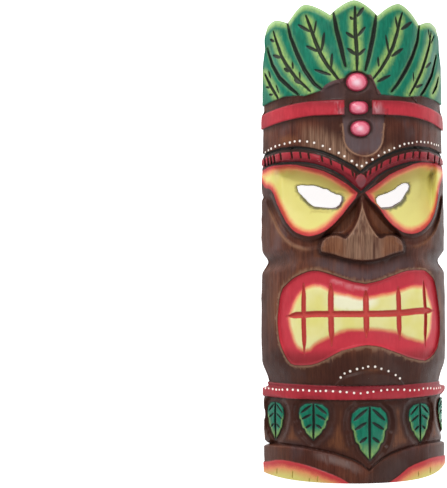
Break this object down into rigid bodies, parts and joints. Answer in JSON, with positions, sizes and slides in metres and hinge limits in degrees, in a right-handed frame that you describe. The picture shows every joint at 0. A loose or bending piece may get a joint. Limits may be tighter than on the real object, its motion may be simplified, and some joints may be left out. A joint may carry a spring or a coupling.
{
  "type": "tiki mask",
  "caption": "Carved and painted wooden tiki wall mask with a leaf crown, dished eyes cut through, bared teeth and a hollowed back.",
  "frame": {"origin": "middle of the flat back, on the surface that the mask lies on", "axes": "+Z out of the face, +Y up the face to the leaf crown, +X to the right seen from the front"},
  "size_m": [0.199, 0.5001, 0.0724],
  "materials": {
    "painted_wood": "dark stained and painted light hardwood under satin lacquer, bare in the hollow behind"
  },
  "bodies": {
    "root": {"tiki_mask": "painted_wood"}
  },
  "joints": []
}
